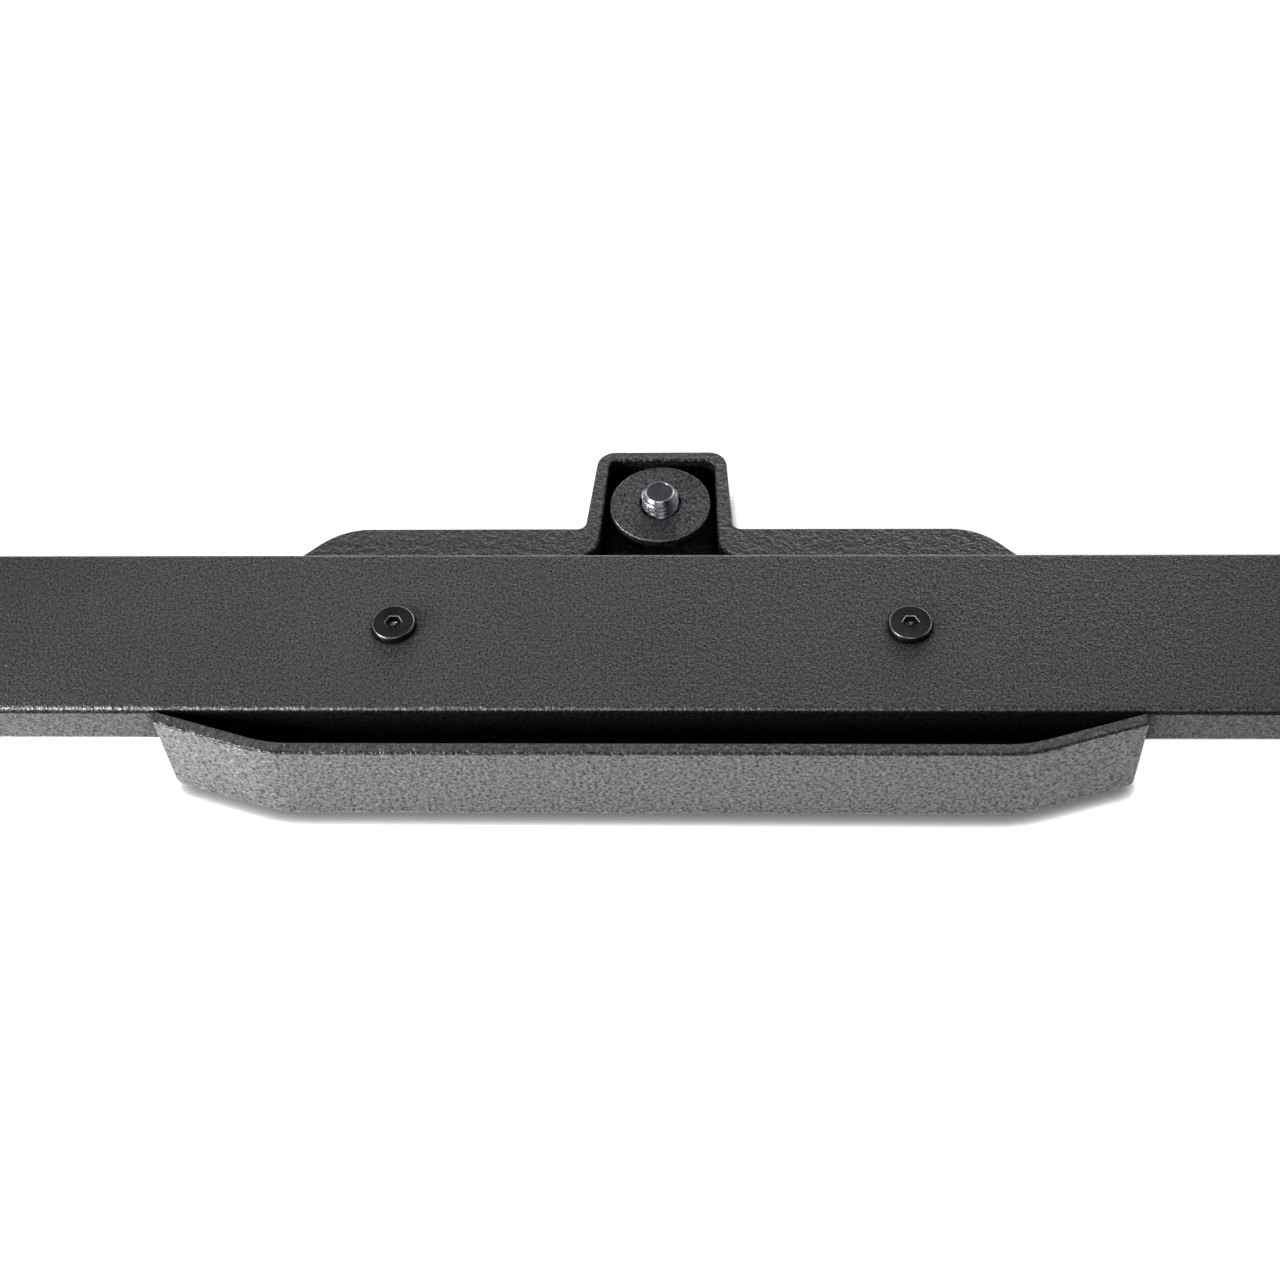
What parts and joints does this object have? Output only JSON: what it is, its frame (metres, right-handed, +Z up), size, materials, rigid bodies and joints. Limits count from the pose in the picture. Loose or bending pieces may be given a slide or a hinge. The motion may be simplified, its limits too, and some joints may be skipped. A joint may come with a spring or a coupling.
{
  "type": "tailgate step",
  "caption": "Fold-up step for the rear of a vehicle: a flat bar tread on hinged side arms, with a centre bracket that forms a pull lip in front and a catch stud behind.",
  "frame": {"origin": "centre of the four mounting holes, on the plane that bears against the vehicle", "axes": "+Z up, +X along the tread, +Y into the vehicle; stored lowered, the tread standing out along -Y"},
  "size_m": [0.6522, 0.2264, 0.1193],
  "materials": {
    "tread_paint": "fine-textured black powder coat",
    "casting_paint": "coarse-textured black powder coat",
    "bracket_paint": "fine-textured black powder coat",
    "disc_paint": "grainy dark grey coat",
    "black_steel": "black oxide",
    "zinc_steel": "bright zinc plate",
    "stud_steel": "plain bright steel",
    "bush_bronze": "sintered bronze",
    "washer_plastic": "natural black nylon",
    "mill_steel": "mill finish"
  },
  "bodies": {
    "mounts": {"bracket_left": "bracket_paint", "bracket_right": "bracket_paint", "stop_pins": "zinc_steel", "pivot_bolts": "zinc_steel", "pivot_washers": "zinc_steel", "pivot_nuts": "zinc_steel", "thrust_washers": "washer_plastic"},
    "step": {"arm_bushes": "bush_bronze", "arm_left": "bracket_paint", "arm_right": "bracket_paint", "end_block_left": "mill_steel", "end_block_right": "mill_steel", "arm_bolts": "zinc_steel", "arm_washers": "zinc_steel", "tread_tube": "tread_paint", "centre_casting": "casting_paint", "crush_sleeves": "mill_steel", "casting_screws": "black_steel", "catch_disc": "disc_paint", "stud_washer": "zinc_steel", "stud_nut": "zinc_steel", "catch_stud": "stud_steel"}
  },
  "joints": [
    {"name": "step_hinge", "type": "hinge", "parent": "mounts", "child": "step", "pos_m": [0, -0.032, 0], "axis": [-1, 0, 0], "range_deg": [0, 90]}
  ]
}
